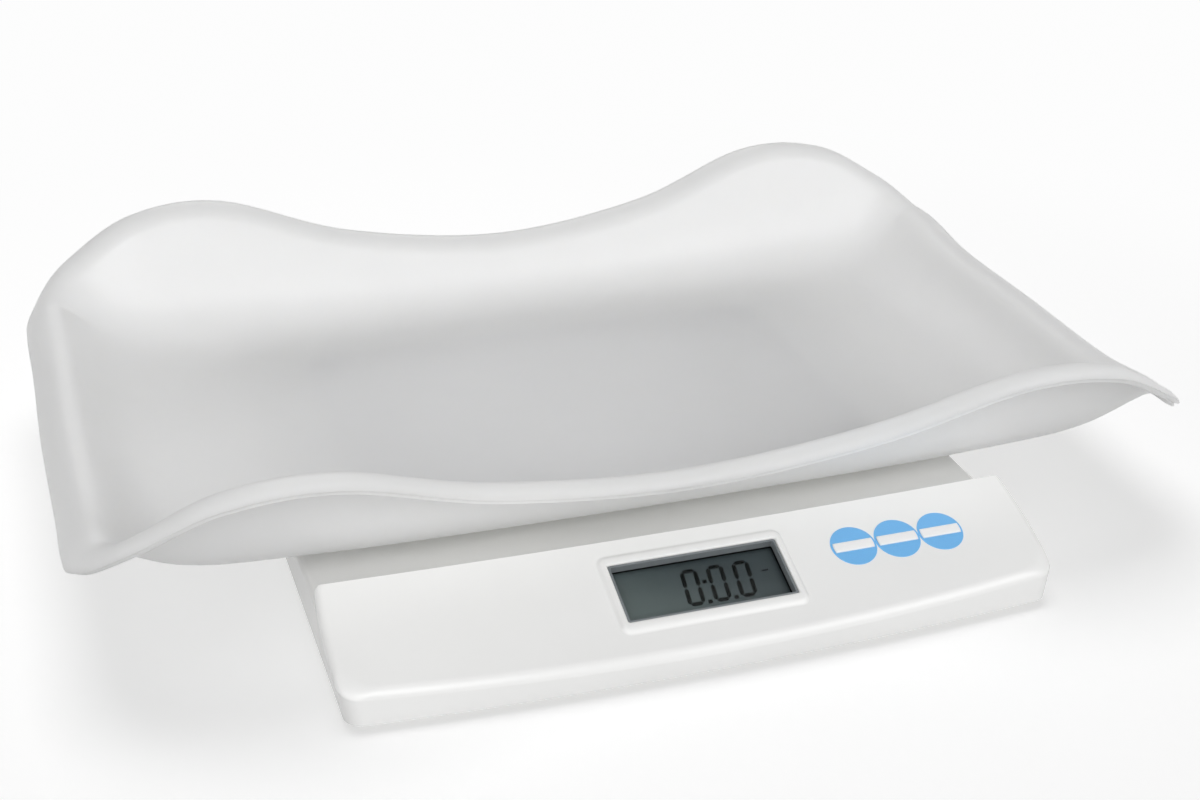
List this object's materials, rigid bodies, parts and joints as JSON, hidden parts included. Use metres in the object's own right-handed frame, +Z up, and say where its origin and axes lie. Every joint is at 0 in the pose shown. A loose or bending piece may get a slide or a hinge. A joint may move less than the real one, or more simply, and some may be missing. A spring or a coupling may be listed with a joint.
{
  "type": "digital baby weighing scale",
  "caption": "Low baby scale: a shallow curved tray on a flat base that rises in front to a sloped panel with a digital display and bar-shaped keys in round printed marks.",
  "frame": {"origin": "on the floor, under the middle of the whole scale", "axes": "+X across the scale towards the keys' end, +Y from the display to the back, +Z up"},
  "size_m": [0.5556, 0.387, 0.109],
  "materials": {
    "tray_plastic": "satin, moulded",
    "housing_plastic": "soft gloss, moulded",
    "platform_plastic": "moulded",
    "cover_plastic": "fine texture, moulded",
    "foot_rubber": "matt",
    "bezel_plastic": "silver-grey, satin",
    "clear_window": "clear",
    "lcd_glass": "polariser film over glass",
    "digit_black": "flat",
    "dark_plastic": "moulded",
    "contact_rubber": "matt",
    "board_green": "solder mask",
    "label_blue": "printed film",
    "key_plastic": "moulded",
    "plunger_plastic": "moulded",
    "cell_aluminium": "machined",
    "gauge_silicone": "cast",
    "plated_steel": "zinc plated",
    "screw_steel": "zinc plated",
    "battery_case": "printed sleeve, no lettering",
    "spring_steel": "nickel plated",
    "cable_grey": "flexible jacket",
    "lead_red": "flexible insulation"
  },
  "bodies": {
    "base": {"top_housing": "housing_plastic", "bottom_cover": "cover_plastic", "rubber_feet": "foot_rubber", "housing_screws": "screw_steel", "display_bezel": "bezel_plastic", "display_window": "clear_window", "lcd_panel": "lcd_glass", "lcd_digits": "digit_black", "lcd_holder": "dark_plastic", "contact_strips": "contact_rubber", "circuit_board": "board_green", "board_parts": "dark_plastic", "board_screws": "screw_steel", "key_label": "label_blue", "key_switches": "dark_plastic", "load_cell": "cell_aluminium", "gauge_covers": "gauge_silicone", "base_bracket": "plated_steel", "bracket_screws": "screw_steel", "lower_spacer": "plated_steel", "lower_cell_screws": "screw_steel", "batteries": "battery_case", "battery_springs": "spring_steel", "battery_contacts": "spring_steel", "cell_cable": "cable_grey", "battery_leads": "lead_red"},
    "platform": {"platform": "platform_plastic", "platform_bracket": "plated_steel", "platform_screws": "screw_steel", "upper_spacer": "plated_steel", "upper_cell_screws": "screw_steel"},
    "tray": {"tray": "tray_plastic"},
    "left_key": {"left_key": "key_plastic", "left_plunger": "plunger_plastic"},
    "middle_key": {"middle_key": "key_plastic", "middle_plunger": "plunger_plastic"},
    "right_key": {"right_key": "key_plastic", "right_plunger": "plunger_plastic"},
    "battery_door": {"battery_door": "cover_plastic"}
  },
  "joints": [
    {"name": "platform_press", "type": "slide", "parent": "base", "child": "platform", "axis": [0, 0, 1], "range_m": [-0.0005, 0], "stiffness_N_per_m": 100000, "springref_m": 0.0004, "deforming": ["load_cell"]},
    {"name": "tray_lift", "type": "slide", "parent": "platform", "child": "tray", "axis": [0, 0, 1], "range_m": [0, 0.06]},
    {"name": "left_key_press", "type": "slide", "parent": "base", "child": "left_key", "axis": [0, -0.3404, 0.9403], "range_m": [-0.0008, 0], "stiffness_N_per_m": 1500, "springref_m": 0.0004},
    {"name": "middle_key_press", "type": "slide", "parent": "base", "child": "middle_key", "axis": [0, -0.3404, 0.9403], "range_m": [-0.0008, 0], "stiffness_N_per_m": 1500, "springref_m": 0.0004},
    {"name": "right_key_press", "type": "slide", "parent": "base", "child": "right_key", "axis": [0, -0.3404, 0.9403], "range_m": [-0.0008, 0], "stiffness_N_per_m": 1500, "springref_m": 0.0004},
    {"name": "battery_door_slide", "type": "slide", "parent": "base", "child": "battery_door", "axis": [0, 1, 0], "range_m": [0, 0.072]}
  ]
}
